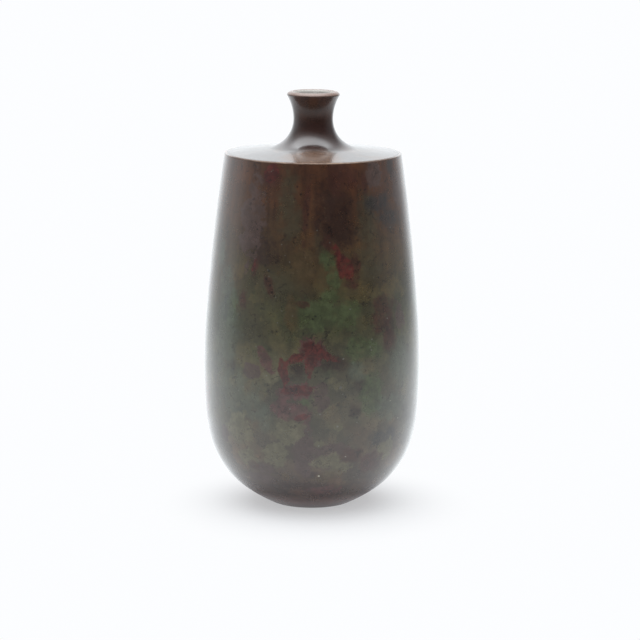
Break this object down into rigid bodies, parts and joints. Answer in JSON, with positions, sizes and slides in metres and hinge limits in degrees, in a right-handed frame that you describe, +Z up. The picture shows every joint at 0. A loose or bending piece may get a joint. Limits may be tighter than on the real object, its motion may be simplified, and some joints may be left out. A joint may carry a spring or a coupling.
{
  "type": "bronze vase",
  "caption": "Patinated bronze flower vase: tall barrel on a small foot ring, sharp shoulder and a short trumpet neck with a turned lip.",
  "frame": {"origin": "on the vase's axis, in the plane of the foot ring that it stands on", "axes": "+Z up along the axis of the vase; X and Y are alike, because the vase is round"},
  "size_m": [0.1264, 0.1264, 0.242],
  "materials": {
    "body_bronze": "mottled brown, olive and red patina, waxed",
    "neck_bronze": "dark brown patina, waxed, lip rubbed bright",
    "braze": "as brazed",
    "base_bronze": "dark brown patina",
    "solder": "dull solder"
  },
  "bodies": {
    "root": {"body": "body_bronze", "neck_and_shoulder": "neck_bronze", "shoulder_braze": "braze", "base_plate": "base_bronze", "base_solder": "solder"}
  },
  "joints": []
}
